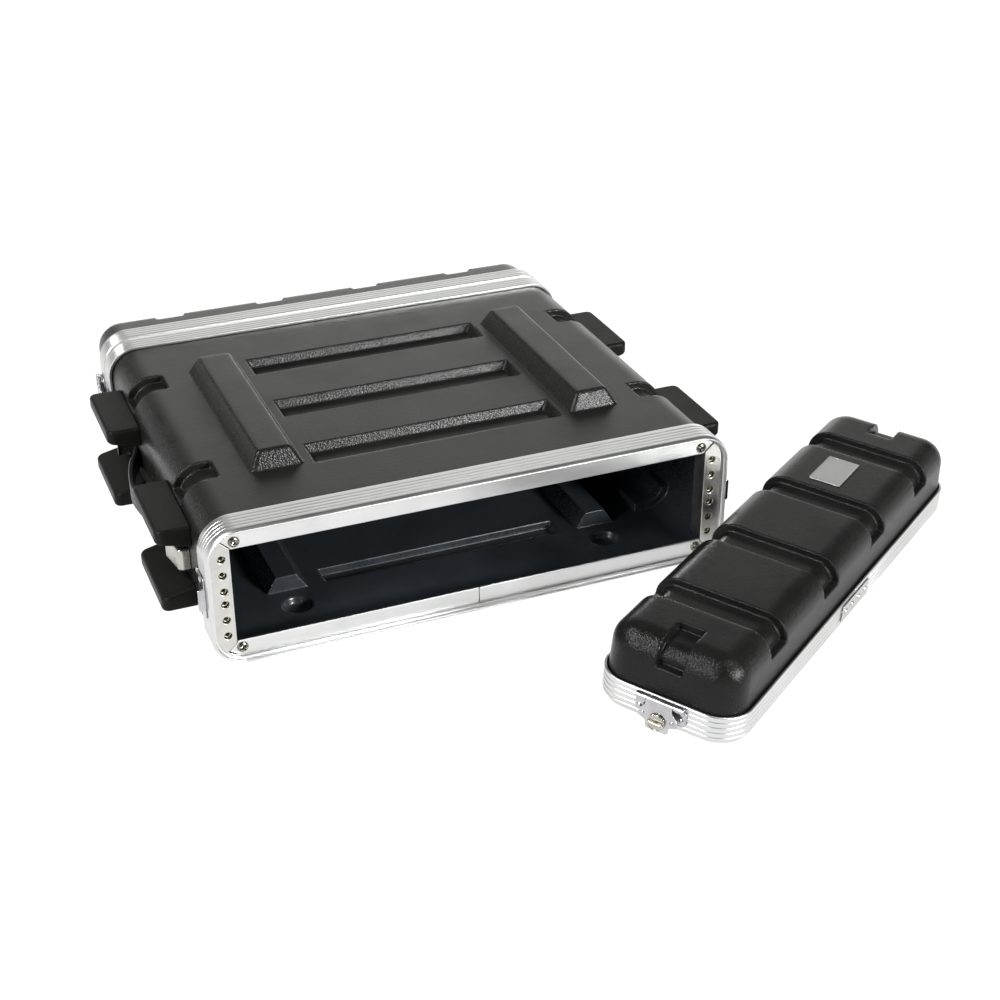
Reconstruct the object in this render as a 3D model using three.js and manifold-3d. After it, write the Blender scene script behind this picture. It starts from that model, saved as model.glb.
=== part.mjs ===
// Two-unit equipment rack case: a moulded case with aluminium edge frames, a latched rear cover,
// and a front cover that has been taken off and laid on the ground in front of the case.
// Millimetres, +Z up. X runs along the rack's width and Y from the front rails to the rear.

import * as THREE from 'three';
import { mergeVertices } from 'three/addons/utils/BufferGeometryUtils.js';
import Module from 'manifold-3d';

const wasm = await Module();
wasm.setup();

// ---- driving dimensions ----------------------------------------------------------------------

const GAP = 0.3;                      // clearance between pieces that touch
const MID = 71.2;                     // height of the case's middle plane above the ground

const FRAME = { halfWidth: 247.6, halfHeight: 66.8, radius: 30.2, skin: 2.8 };
const OPENING = { halfWidth: 225.2, halfHeight: 45.8 };   // clear opening between the rails
const FRONT = { rim: -6, flange: 0.9, end: 24.5 };        // front frame, measured along Y
const REAR = { rim: 420, flange: 413.1, end: 393 };       // rear frame, measured along Y
const FLANGE_THICKNESS = 2.5;

const WALL = 3.2;                     // moulded plastic
const SHELL = { halfWidth: 244, halfHeight: 63.7, radius: 27.4, front: 3.8, rear: 410.2 };

// Sunk channels across the top match ribs under the floor, so that cases stack.
const CHANNEL = { halfLength: 119.4, width: 31.5, depth: 8, draft: 5, centres: [107.6, 206, 306.4] };
const RIB = { depth: 7.5, centres: [99.5, 198, 298.5] };
const BAR = { x: 155.2, halfBase: 22.2, front: 90.8, rear: 326, height: 16.6, side: 8.1, end: 9.2 };
const RECESS = { x: 156, halfBase: 18.3, front: 88, rear: 329, height: 14.5, side: 10, end: 2.5 };
const FOOT = { x: 154, front: 60, rear: 357.5, radius: 17.6, bottomRadius: 13.5 };
const SHOULDER = { inner: 207, depth: 8, lowest: 42, length: 31.5, centres: [114, 309] };

const BUMPER = { reach: 31, length: 94, fronts: [60, 264], high: 41, outerLow: 27.5, innerLow: 20.5 };
const STRAP = { height: 20.4, thickness: 4.6, centre: 209, bow: 27, halfSpan: 126, inset: 6.4 };
const CAP = { height: 23.6, metal: 1.2, start: 135, end: 105, reachStart: 10.4, reachEnd: 15.4 };
const KEEPER = { halfHeight: 20, lipHalf: 10.5, lipAt: 10, lipReach: 6.5, metal: 1.2, length: 20 };

const RAIL = { outer: 243.2, face: 0, metal: 2, depth: 20, hole: 3.5, end: 47.2, tip: 55.5 };
const HOLE_HEIGHTS = [6.35, 22.225, 38.1];                // two rack units, either side of the middle
const SCREW = { x: 220.6, z: 52.6, head: 4.6, height: 2.2, shank: 1.9, length: 8 };

const COVER = { valance: 22.6, height: 69.5, inset: 2.4, shoulder: 21, draft: 3.6, tongue: 5, seat: 2.3 };
const GROOVE = { width: 30.5, depth: 7.5, centres: [-163.9, -54.3, 54.3, 163.9], lowest: 47 };
const WELL = { halfWidth: 12.3, reach: 43, depth: 7.5, lowest: 46 };
const BADGE = { x: 108, y: 7, length: 51, width: 31, metal: 0.8 };
const JOINER = { length: 60, height: 17, metal: 1 };

const LATCH = {
  base: { halfWidth: 23.5, low: 3.5, high: 17.4, metal: 1.2 },
  pin: { out: 3.7, z: 20.6, radius: 1.1, bore: 1.5, barrel: 2.7, halfLength: 22 },
  plate: { barrelHalf: 12, shoulder: 18, tip: 10.5, lowest: -7, metal: 1.2 },
  turn: { z: 2.5, radius: 7.6, metal: 1.6, stud: 2.4 },
  wing: { radius: 7.2, metal: 1.3, knuckle: 1.3 },
};

const FRONT_COVER = {
  position: [270.2, -82.3, MID - 60.9],
  tilt: [3.09, 0.48, 35.28].map(THREE.MathUtils.degToRad),
};

// ---- materials -------------------------------------------------------------------------------

const paint = (color, roughness, metalness) =>
  new THREE.MeshStandardMaterial({ color, roughness, metalness });

const moulding = paint(0x2b2c2b, 0.62, 0);
const bumperRubber = paint(0x262725, 0.7, 0);
const strapRubber = paint(0x1f201f, 0.6, 0);
const aluminium = paint(0xc9ccca, 0.34, 0.9);
const railSteel = paint(0xb9b6a8, 0.36, 0.9);
const chrome = paint(0xd6d7d8, 0.14, 1);
const nickel = paint(0xaaa69b, 0.28, 1);
const brushedPlate = paint(0xb7b8b6, 0.4, 0.85);

// ---- solids ----------------------------------------------------------------------------------

function solidOf(geometry) {
  geometry.deleteAttribute('normal');
  geometry.deleteAttribute('uv');
  const merged = mergeVertices(geometry, 1e-4);
  return new wasm.Manifold(new wasm.Mesh({
    numProp: 3,
    vertProperties: new Float32Array(merged.attributes.position.array),
    triVerts: new Uint32Array(merged.index.array),
  }));
}

function meshOf(name, solid, material) {
  const { vertProperties, triVerts } = solid.getMesh();
  const geometry = new THREE.BufferGeometry();
  geometry.setAttribute('position', new THREE.BufferAttribute(vertProperties, 3));
  geometry.setIndex(new THREE.BufferAttribute(triVerts, 1));
  geometry.computeVertexNormals();
  const mesh = new THREE.Mesh(geometry, material);
  mesh.name = name;
  return mesh;
}

const join = (...solids) => solids.reduce((whole, solid) => whole.add(solid));
const cut = (solid, ...tools) => tools.reduce((whole, tool) => whole.subtract(tool), solid);

function roundedRect(halfX, halfY, radius) {
  const shape = new THREE.Shape();
  const x = halfX - radius;
  const y = halfY - radius;
  shape.absarc(x, y, radius, 0, Math.PI / 2);
  shape.absarc(-x, y, radius, Math.PI / 2, Math.PI);
  shape.absarc(-x, -y, radius, Math.PI, 1.5 * Math.PI);
  shape.absarc(x, -y, radius, 1.5 * Math.PI, 2 * Math.PI);
  return shape;
}

const polygon = (points) => new THREE.Shape(points.map(([x, y]) => new THREE.Vector2(x, y)));

// An outline drawn in X and Y, standing from z0 to z1.
function standing(shape, z0, z1, curveSegments = 5) {
  const geometry = new THREE.ExtrudeGeometry(shape, { depth: z1 - z0, bevelEnabled: false, curveSegments });
  return solidOf(geometry.translate(0, 0, z0));
}

// An outline drawn in X and Z about the case's middle plane, running from y0 to y1.
function running(shape, y0, y1, curveSegments = 5) {
  const geometry = new THREE.ExtrudeGeometry(shape, { depth: y1 - y0, bevelEnabled: false, curveSegments });
  return solidOf(geometry.rotateX(Math.PI / 2).translate(0, y1, MID));
}

function box([x0, x1], [y0, y1], [z0, z1]) {
  const geometry = new THREE.BoxGeometry(x1 - x0, y1 - y0, z1 - z0);
  return solidOf(geometry.translate((x0 + x1) / 2, (y0 + y1) / 2, (z0 + z1) / 2));
}

// A block whose face at z1 is drawn in by dx on both sides and by dy at both ends.
function taperedBlock([x0, x1], [y0, y1], [z0, z1], dx, dy) {
  const geometry = new THREE.BoxGeometry(x1 - x0, y1 - y0, 1);
  const position = geometry.attributes.position;
  for (let i = 0; i < position.count; i++) {
    const far = position.getZ(i) > 0;
    const x = position.getX(i) - (far ? Math.sign(position.getX(i)) * dx : 0);
    const y = position.getY(i) - (far ? Math.sign(position.getY(i)) * dy : 0);
    position.setXYZ(i, x + (x0 + x1) / 2, y + (y0 + y1) / 2, far ? z1 : z0);
  }
  if (z1 < z0) geometry.index.array.reverse();
  return solidOf(geometry);
}

function cylinder(radius, [from, to], axis, segments = 20, endRadius = radius) {
  const geometry = new THREE.CylinderGeometry(endRadius, radius, to - from, segments);
  geometry.translate(0, (from + to) / 2, 0);
  if (axis === 'x') geometry.rotateZ(-Math.PI / 2);
  if (axis === 'z') geometry.rotateX(Math.PI / 2);
  return solidOf(geometry);
}

const mirrorX = (solid) => solid.mirror([1, 0, 0]);

// Mirrors a solid of the front end to the rear end of the case.
const toRear = (solid) => solid.mirror([0, 1, 0]).translate([0, FRONT.rim + REAR.rim, 0]);

// ---- case shell ------------------------------------------------------------------------------

const TOP = MID + SHELL.halfHeight;
const BOTTOM = MID - SHELL.halfHeight;

const caseBody = (inset, y0, y1) => running(
  roundedRect(SHELL.halfWidth - inset, SHELL.halfHeight - inset, SHELL.radius - inset), y0, y1);

// The features are made twice: once for the outer skin, and once grown or shrunk by the wall
// thickness for the space inside.
function sunkChannels(grow) {
  const half = CHANNEL.width / 2 + grow;
  return CHANNEL.centres.map((y) => taperedBlock(
    [-CHANNEL.halfLength - grow, CHANNEL.halfLength + grow], [y - half, y + half],
    [TOP + 0.5, TOP - CHANNEL.depth - grow], CHANNEL.draft, 0));
}

function floorRibs(grow) {
  const half = CHANNEL.width / 2 - 1 + grow;
  return RIB.centres.map((y) => taperedBlock(
    [-CHANNEL.halfLength - grow, CHANNEL.halfLength + grow], [y - half, y + half],
    [BOTTOM + WALL + 1, BOTTOM - RIB.depth - grow], CHANNEL.draft, 1.5));
}

function topBars(grow) {
  return [-1, 1].map((side) => taperedBlock(
    [side * BAR.x - BAR.halfBase - grow, side * BAR.x + BAR.halfBase + grow],
    [BAR.front - grow, BAR.rear + grow],
    [TOP - WALL - 1, TOP + BAR.height + grow], BAR.side, BAR.end));
}

function floorRecesses(grow) {
  return [-1, 1].map((side) => taperedBlock(
    [side * RECESS.x - RECESS.halfBase - 1.2 * grow, side * RECESS.x + RECESS.halfBase + 1.2 * grow],
    [RECESS.front - grow, RECESS.rear + grow],
    [BOTTOM - 0.5, BOTTOM + RECESS.height + grow], RECESS.side, RECESS.end));
}

function feet(grow) {
  return [-1, 1].flatMap((side) => [FOOT.front, FOOT.rear].map((y) => cylinder(
    FOOT.bottomRadius + grow, [BOTTOM - RIB.depth - grow, BOTTOM + WALL + 1], 'z', 20,
    FOOT.radius + grow).translate([side * FOOT.x, y, 0])));
}

// Short channels that run over the long rounded edges, above and below.
function shoulderChannels(grow) {
  const half = SHOULDER.length / 2 + grow;
  return SHOULDER.centres.flatMap((y) => {
    const core = caseBody(SHOULDER.depth + grow, y - half - 1, y + half + 1);
    const reach = [SHOULDER.inner - grow, SHELL.halfWidth + 5];
    const upper = cut(box(reach, [y - half, y + half],
      [MID + SHOULDER.lowest - grow, TOP + 5]), core);
    const lower = cut(box(reach, [y - half, y + half],
      [BOTTOM - 5, MID - SHOULDER.lowest + grow]), core);
    return [upper, lower, mirrorX(upper), mirrorX(lower)];
  });
}

function caseShell() {
  const outer = cut(
    join(caseBody(0, SHELL.front, SHELL.rear), ...topBars(0), ...floorRibs(0), ...feet(0)),
    ...sunkChannels(0), ...floorRecesses(0), ...shoulderChannels(0));
  const inner = cut(
    join(caseBody(WALL, SHELL.front - 1, SHELL.rear + 1),
      ...topBars(-WALL), ...floorRibs(-WALL), ...feet(-WALL)),
    ...sunkChannels(WALL), ...floorRecesses(WALL), ...shoulderChannels(WALL));
  return cut(outer, inner);
}

// ---- aluminium edge frames of the case -------------------------------------------------------

const frameOutline = (inset) => roundedRect(
  FRAME.halfWidth - inset, FRAME.halfHeight - inset, FRAME.radius - inset);

// The rail's face as seen from the front: a strip with mitred ends, on the right-hand side.
function railFace(grow) {
  const inner = OPENING.halfWidth - grow;
  const outer = RAIL.outer + grow;
  const middle = (OPENING.halfWidth + RAIL.outer) / 2;
  const end = RAIL.end + grow * 0.4;
  const tip = RAIL.tip + grow * 1.4;
  return polygon([[inner, -end], [middle, -tip], [outer, -end], [outer, end], [middle, tip], [inner, end]]);
}

function frontFrame() {
  const skin = cut(running(frameOutline(0), FRONT.rim, FRONT.end),
    running(frameOutline(FRAME.skin), FRONT.rim - 1, FRONT.end + 1));
  const flange = cut(
    running(frameOutline(FRAME.skin - 0.5), FRONT.flange, FRONT.flange + FLANGE_THICKNESS),
    running(polygon([[-1, -1], [1, -1], [1, 1], [-1, 1]].map(
      ([x, z]) => [x * OPENING.halfWidth, z * OPENING.halfHeight])), -5, 10));
  const rail = running(railFace(GAP), -5, 10);
  const holes = [-1, 1].flatMap((x) => [-1, 1].map((z) => cylinder(
    SCREW.shank + GAP, [-5, 10], 'y', 8).translate([x * SCREW.x, 0, MID + z * SCREW.z])));
  return cut(join(skin, flange), rail, mirrorX(rail), ...holes);
}

function rail() {
  const face = running(railFace(0), RAIL.face, RAIL.face + RAIL.metal);
  const web = box([OPENING.halfWidth, OPENING.halfWidth + RAIL.metal],
    [RAIL.face, RAIL.face + RAIL.depth], [MID - OPENING.halfHeight + 1, MID + OPENING.halfHeight - 1]);
  const x = (OPENING.halfWidth + RAIL.outer) / 2 - 1.65;
  const holes = HOLE_HEIGHTS.flatMap((z) => [z, -z]).map((z) => cylinder(
    RAIL.hole, [-5, 10], 'y', 12).translate([x, 0, MID + z]));
  return cut(join(face, web), ...holes);
}

function cornerScrew() {
  const profile = new THREE.SplineCurve([
    new THREE.Vector2(SCREW.head, 0), new THREE.Vector2(SCREW.head * 0.78, SCREW.height * 0.75),
    new THREE.Vector2(0, SCREW.height)]).getPoints(3);
  const head = solidOf(new THREE.LatheGeometry(
    [new THREE.Vector2(0, -0.2), new THREE.Vector2(SCREW.head, -0.2), ...profile], 12)
    .rotateX(Math.PI));
  const shank = cylinder(SCREW.shank, [0, SCREW.length], 'y', 8);
  return join(head, shank).translate([0, FRONT.flange - GAP - 0.2, 0]);
}

// ---- side fittings, all made for the left-hand side and mirrored -----------------------------

const WALL_X = -SHELL.halfWidth - GAP;

function bumper(front) {
  const round = 3;
  const shape = polygon([
    [WALL_X, BUMPER.innerLow], [WALL_X, BUMPER.high],
    [WALL_X - BUMPER.reach, BUMPER.high], [WALL_X - BUMPER.reach, BUMPER.outerLow]]);
  const geometry = new THREE.ExtrudeGeometry(shape, {
    depth: BUMPER.length - 2 * round, bevelThickness: round, bevelSize: round, bevelOffset: -round,
    bevelSegments: 3,
  });
  return solidOf(geometry.rotateX(Math.PI / 2).translate(0, front + BUMPER.length - round, MID));
}

function strap() {
  const half = STRAP.halfSpan;
  const root = WALL_X - STRAP.inset;
  const bow = [[1, 0], [0.75, 0.12], [0.52, 0.41], [0.4, 0.67], [0.2, 0.9], [0, 1]];
  const side = (sign) => bow.map(([along, out]) => new THREE.Vector3(
    root - out * STRAP.bow, STRAP.centre + sign * along * half, MID));
  const path = new THREE.CatmullRomCurve3([...side(-1), ...side(1).reverse().slice(1)]);
  const section = roundedRect(STRAP.height / 2, STRAP.thickness / 2, STRAP.thickness / 2.2);
  return solidOf(new THREE.ExtrudeGeometry(section, { steps: 16, extrudePath: path, curveSegments: 2 }));
}

function strapCap() {
  const outline = (inset, near, far) => polygon([
    [WALL_X + (inset ? 1 : 0), near], [WALL_X - CAP.reachStart + inset, near],
    [WALL_X - CAP.reachEnd + inset, far], [WALL_X + (inset ? 1 : 0), far]]);
  const near = STRAP.centre - CAP.start;
  const far = STRAP.centre - CAP.end;
  const half = CAP.height / 2;
  return cut(
    standing(outline(0, near, far), MID - half, MID + half),
    standing(outline(CAP.metal, near + CAP.metal, far + 2), MID - half + CAP.metal, MID + half - CAP.metal));
}

function keeper() {
  const x = -FRAME.halfWidth - GAP;
  const lipY = FRONT.rim + KEEPER.lipAt;
  const plate = box([x - KEEPER.metal, x], [lipY, lipY + KEEPER.length],
    [MID - KEEPER.halfHeight, MID + KEEPER.halfHeight]);
  const lip = box([x - KEEPER.lipReach, x], [lipY, lipY + KEEPER.metal],
    [MID - KEEPER.lipHalf, MID + KEEPER.lipHalf]);
  const rivets = [-1, 1].map((side) => cylinder(2.6, [0, 1.2], 'x', 12, 3.1)
    .translate([x - KEEPER.metal - 1, lipY + KEEPER.length * 0.6, MID + side * KEEPER.halfHeight * 0.7]));
  return join(plate, lip, ...rivets);
}

// ---- covers, in their own frame: parting plane at z = 0, crown upwards ------------------------

// The cover's domed body, sunk by an inset on all sides. Its walls lean in towards the crown.
function crown(inset) {
  const shoulder = COVER.shoulder - inset * 0.6;
  const geometry = new THREE.ExtrudeGeometry(frameOutline(COVER.inset + inset), {
    depth: COVER.height, bevelThickness: shoulder, bevelSize: shoulder, bevelOffset: -shoulder,
    bevelSegments: 4, curveSegments: 4,
  });
  geometry.translate(0, 0, -shoulder - inset);
  const position = geometry.attributes.position;
  for (let i = 0; i < position.count; i++) {
    const lean = COVER.draft * Math.max(0, position.getZ(i)) / COVER.height;
    position.setX(i, position.getX(i) * (1 - lean / FRAME.halfWidth));
    position.setY(i, position.getY(i) * (1 - lean / FRAME.halfHeight));
  }
  return solidOf(geometry);
}

function coverGrooves(grow) {
  const half = GROOVE.width / 2 + grow;
  const core = crown(GROOVE.depth + grow);
  return GROOVE.centres.map((x) => cut(
    box([x - half, x + half], [-90, 90], [GROOVE.lowest - grow, COVER.height + 5]), core));
}

function latchWells(grow) {
  const core = crown(WELL.depth + grow);
  const half = WELL.halfWidth + grow;
  const well = cut(box([-FRAME.halfWidth - 5, -FRAME.halfWidth + WELL.reach + grow], [-half, half],
    [WELL.lowest - grow, COVER.height + 5]), core);
  return [well, mirrorX(well)];
}

function coverShell() {
  const below = box([-300, 300], [-100, 100], [-100, COVER.seat]);
  const outer = cut(crown(0), below, ...coverGrooves(0), ...latchWells(0));
  const inner = cut(crown(WALL), ...coverGrooves(WALL), ...latchWells(WALL));
  return cut(outer, inner);
}

function coverFrame() {
  const ring = (outerInset, innerInset, z0, z1) => cut(
    standing(frameOutline(outerInset), z0, z1), standing(frameOutline(innerInset), z0 - 1, z1 + 1));
  const skin = ring(0, COVER.inset - GAP, 0, COVER.valance);
  const web = ring(0, 6, 0, COVER.seat - GAP);
  const tongue = ring(FRAME.skin + GAP + 0.3, 6, -COVER.tongue, 1);
  return join(skin, web, tongue);
}

function joinerPlate() {
  const y = -FRAME.halfHeight - GAP;
  const middle = COVER.valance / 2;
  const plate = box([-JOINER.length / 2, JOINER.length / 2], [y - JOINER.metal, y],
    [middle - JOINER.height / 2, middle + JOINER.height / 2]);
  const rivets = [-1.5, -0.5, 0.5, 1.5].map((step) => cylinder(2.6, [0, 1], 'y', 12, 3)
    .translate([step * JOINER.length / 4, y - JOINER.metal - 0.8, middle]));
  return join(plate, ...rivets);
}

function badge() {
  const z = COVER.height + GAP;
  return standing(roundedRect(BADGE.length / 2, BADGE.width / 2, 1.5), z, z + BADGE.metal, 3)
    .translate([BADGE.x, BADGE.y, 0]);
}

// ---- twist latch, in its own frame: X away from the cover's end, Y along it, Z as the cover's --

function latchBase() {
  const { base, pin } = LATCH;
  const plate = box([GAP, GAP + base.metal], [-base.halfWidth, base.halfWidth], [base.low, base.high]);
  const at = (solid) => solid.translate([pin.out, 0, pin.z]);
  const rod = at(cylinder(pin.radius, [-pin.halfLength, pin.halfLength], 'y', 10));
  const inner = LATCH.plate.barrelHalf + GAP;
  const knuckles = [[inner, pin.halfLength], [-pin.halfLength, -inner]].map(
    (span) => at(cylinder(pin.barrel, span, 'y', 12)));
  const lugs = [[inner, pin.halfLength], [-pin.halfLength, -inner]].map(
    (span) => box([GAP, pin.out], span, [base.high - 1, pin.z]));
  const rivets = [-1, 1].map((side) => cylinder(2.4, [0, 1.2], 'x', 12, 2)
    .translate([GAP + base.metal - 0.2, side * base.halfWidth * 0.82, base.low + 4.5]));
  return join(plate, rod, ...knuckles, ...lugs, ...rivets);
}

const PLATE_OUT = LATCH.pin.out + LATCH.pin.barrel - LATCH.plate.metal;   // inner face of the hook plate

function hookPlate() {
  const { pin, plate, turn } = LATCH;
  const outline = polygon([
    [-plate.barrelHalf, pin.z], [-plate.barrelHalf, 15], [-plate.shoulder, 9], [-plate.shoulder, 3],
    [-plate.tip, 0], [-plate.tip, plate.lowest + 3], [-plate.tip + 3, plate.lowest],
    [plate.tip - 3, plate.lowest], [plate.tip, plate.lowest + 3], [plate.tip, 0],
    [plate.shoulder, 3], [plate.shoulder, 9], [plate.barrelHalf, 15], [plate.barrelHalf, pin.z]]);
  const sheet = solidOf(new THREE.ExtrudeGeometry(outline, { depth: plate.metal, bevelEnabled: false })
    .rotateX(Math.PI / 2).rotateZ(Math.PI / 2).translate(PLATE_OUT, 0, 0));
  const span = [-plate.barrelHalf, plate.barrelHalf];
  const barrel = cylinder(pin.barrel, span, 'y', 16).translate([pin.out, 0, pin.z]);
  const bore = cylinder(pin.bore, [-90, 90], 'y', 12).translate([pin.out, 0, pin.z]);
  const studHole = cylinder(turn.stud + GAP, [-5, 20], 'x', 14).translate([0, 0, turn.z]);
  return cut(join(sheet, barrel), bore, studHole);
}

const TURN_OUT = PLATE_OUT + LATCH.plate.metal + GAP;                    // inner face of the turning disc

function turnDisc() {
  const { turn } = LATCH;
  const disc = cylinder(turn.radius, [TURN_OUT, TURN_OUT + turn.metal], 'x', 24);
  const stud = cylinder(turn.stud, [PLATE_OUT - 1, TURN_OUT + 0.2], 'x', 14);
  return join(disc, stud).translate([0, 0, turn.z]);
}

const WING_PIVOT = TURN_OUT + LATCH.turn.metal + GAP + LATCH.wing.knuckle;

function wing() {
  const { turn, wing: leaf } = LATCH;
  const knuckle = cylinder(leaf.knuckle, [-leaf.radius * 0.8, leaf.radius * 0.8], 'y', 10);
  const disc = cylinder(leaf.radius, [-leaf.knuckle, -leaf.knuckle + leaf.metal], 'x', 24);
  const half = cut(disc, box([-5, 5], [-20, 20], [0, 20]));
  return join(half, knuckle).translate([WING_PIVOT, 0, turn.z]);
}

// ---- assembly --------------------------------------------------------------------------------

const group = new THREE.Group();
const add = (name, solid, material, parent = group) => parent.add(meshOf(name, solid, material));

add('case_shell', caseShell(), moulding);
const frontFrameSolid = frontFrame();
const railSolid = rail();
add('front_frame', frontFrameSolid, aluminium);
add('rear_frame', cut(toRear(frontFrameSolid), box([-300, 300], [0, REAR.end], [0, 200])), aluminium);
add('front_rail_left', mirrorX(railSolid), railSteel);
add('front_rail_right', railSolid, railSteel);
add('rear_rail_left', toRear(mirrorX(railSolid)), railSteel);
add('rear_rail_right', toRear(railSolid), railSteel);

for (const [end, place] of [['front', (solid) => solid], ['rear', toRear]]) {
  for (const [level, z] of [['upper', 1], ['lower', -1]]) {
    for (const [side, x] of [['left', -1], ['right', 1]]) {
      add(`${end}_screw_${level}_${side}`,
        place(cornerScrew().translate([x * SCREW.x, 0, MID + z * SCREW.z])), nickel);
    }
  }
}

const upsideDown = (solid) => solid.mirror([0, 0, 1]).translate([0, 0, 2 * MID]);
const sides = [['left', (solid) => solid], ['right', mirrorX]];
for (const [side, place] of sides) {
  BUMPER.fronts.forEach((front, i) => {
    const end = ['front', 'rear'][i];
    add(`${side}_bumper_${end}_upper`, place(bumper(front)), bumperRubber);
    add(`${side}_bumper_${end}_lower`, place(upsideDown(bumper(front))), bumperRubber);
  });
  const cap = strapCap();
  const rearCap = cap.mirror([0, 1, 0]).translate([0, 2 * STRAP.centre, 0]);
  add(`${side}_handle_strap`, place(strap()), strapRubber);
  add(`${side}_handle_cap_front`, place(cap), chrome);
  add(`${side}_handle_cap_rear`, place(rearCap), chrome);
  add(`${side}_keeper_front`, place(keeper()), nickel);
  add(`${side}_keeper_rear`, place(toRear(keeper())), nickel);
}

function latch(prefix, atPositiveEnd) {
  const fitting = new THREE.Group();
  fitting.position.x = (atPositiveEnd ? 1 : -1) * FRAME.halfWidth;
  fitting.rotation.z = atPositiveEnd ? 0 : Math.PI;
  add(`${prefix}_latch_base`, latchBase(), chrome, fitting);
  add(`${prefix}_hook_plate`, hookPlate(), chrome, fitting);
  add(`${prefix}_turn_disc`, turnDisc(), nickel, fitting);
  add(`${prefix}_turn_wing`, wing(), nickel, fitting);
  return fitting;
}

function cover(name, lowEnd, highEnd) {
  const assembly = new THREE.Group();
  add(`${name}_cover_shell`, coverShell(), moulding, assembly);
  add(`${name}_cover_frame`, coverFrame(), aluminium, assembly);
  add(`${name}_cover_joiner`, joinerPlate(), aluminium, assembly);
  assembly.add(latch(`${name}_${lowEnd}`, false), latch(`${name}_${highEnd}`, true));
  return assembly;
}

// The rear cover is turned end for end, so that its joiner plate is underneath.
const rearCover = cover('rear', 'right', 'left');
rearCover.position.set(0, REAR.rim + GAP, MID);
rearCover.rotation.set(-Math.PI / 2, 0, Math.PI);

const frontCover = cover('front', 'left', 'right');
add('front_cover_badge', badge(), brushedPlate, frontCover);
frontCover.position.set(...FRONT_COVER.position);
frontCover.rotation.set(...FRONT_COVER.tilt, 'ZYX');

group.add(rearCover, frontCover);

// The row's origin is the middle of the footprint, on the ground.
group.updateMatrixWorld(true);
const bounds = new THREE.Box3().setFromObject(group, true);
const centre = bounds.getCenter(new THREE.Vector3());
group.position.set(-centre.x, -centre.y, -bounds.min.z);

export default group;
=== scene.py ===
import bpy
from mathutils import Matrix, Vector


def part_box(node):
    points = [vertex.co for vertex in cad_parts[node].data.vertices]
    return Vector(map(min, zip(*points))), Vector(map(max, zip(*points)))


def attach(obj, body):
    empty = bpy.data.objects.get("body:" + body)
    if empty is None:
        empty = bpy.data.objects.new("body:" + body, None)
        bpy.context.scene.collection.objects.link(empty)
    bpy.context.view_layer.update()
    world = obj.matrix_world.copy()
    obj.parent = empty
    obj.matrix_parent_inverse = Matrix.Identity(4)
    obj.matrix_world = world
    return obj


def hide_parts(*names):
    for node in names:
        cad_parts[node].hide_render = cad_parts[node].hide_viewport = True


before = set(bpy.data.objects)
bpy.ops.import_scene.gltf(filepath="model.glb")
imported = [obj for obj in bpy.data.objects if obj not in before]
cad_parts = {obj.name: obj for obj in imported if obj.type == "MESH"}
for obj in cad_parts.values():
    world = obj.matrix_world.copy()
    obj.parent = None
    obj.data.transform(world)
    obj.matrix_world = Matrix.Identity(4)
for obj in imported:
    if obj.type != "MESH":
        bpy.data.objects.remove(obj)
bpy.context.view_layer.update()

import math

import bpy
import numpy as np
import openvdb
from mathutils import Matrix, Vector

# Everything below is drawn in millimetres, in one of a few local frames, and placed in metres.
MM = 0.001
# The clearance between neighbouring pieces.
GAP = 0.3

# ---- local frames ----
# CASE: x across, y from the front rail face to the rear, z up from the case's middle plane.
# A cover's frame has its parting plane at z = 0 and its crown upwards, as the cover lies.

frame_low, frame_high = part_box("front_frame")
rail_face_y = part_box("front_rail_left")[0].y
case_origin = Vector(((frame_low.x + frame_high.x) / 2, rail_face_y, (frame_low.z + frame_high.z) / 2))
CASE = Matrix.Translation(case_origin) @ Matrix.Diagonal((MM, MM, MM, 1))

HALF_WIDTH = (frame_high.x - frame_low.x) / 2 / MM
HALF_HEIGHT = (frame_high.z - frame_low.z) / 2 / MM
FRONT_RIM = (frame_low.y - rail_face_y) / MM
REAR_RIM = (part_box("rear_frame")[1].y - rail_face_y) / MM
VALANCE = (frame_high.y - frame_low.y) / MM
# The frames' outer corner radius, and the thickness of an extrusion's outer wall.
CORNER = 30.2
SKIN = 2.8


def turned(axis, degrees):
    return Matrix.Rotation(math.radians(degrees), 4, axis)


REAR_COVER = CASE @ Matrix.Translation((0, REAR_RIM + GAP, 0)) @ turned("X", -90) @ turned("Z", 180)
# The front cover as it lies on the ground: where, and its turn, roll and tilt in degrees.
LAID_AT = Vector((270.2, -82.3, -60.9))
LAID_TURN, LAID_ROLL, LAID_TILT = 35.28, 0.48, 3.09
FRONT_COVER = (CASE @ Matrix.Translation(LAID_AT)
               @ turned("Z", LAID_TURN) @ turned("Y", LAID_ROLL) @ turned("X", LAID_TILT))
COVERS = {"rear": REAR_COVER, "front": FRONT_COVER}

# ---- distance fields ----
# A field gives the distance from points x, y, z to a surface, negative on the inside.


def joined(a, b, radius):
    """The union of two fields, with a fillet of that radius where they meet."""
    return np.maximum(radius, np.minimum(a, b)) - np.hypot(
        np.maximum(radius - a, 0), np.maximum(radius - b, 0))


def common(a, b, radius):
    """What two fields share, with its edge rounded to that radius."""
    return np.minimum(-radius, np.maximum(a, b)) + np.hypot(
        np.maximum(radius + a, 0), np.maximum(radius + b, 0))


def carved(a, tool, radius):
    """A field with a tool taken out of it, and the edge rounded."""
    return common(a, -tool, radius)


def rounded_rect(x, y, half_x, half_y, radius):
    far_x = np.abs(x) - half_x + radius
    far_y = np.abs(y) - half_y + radius
    outside = np.hypot(np.maximum(far_x, 0), np.maximum(far_y, 0))
    return outside + np.minimum(np.maximum(far_x, far_y), 0) - radius


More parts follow.
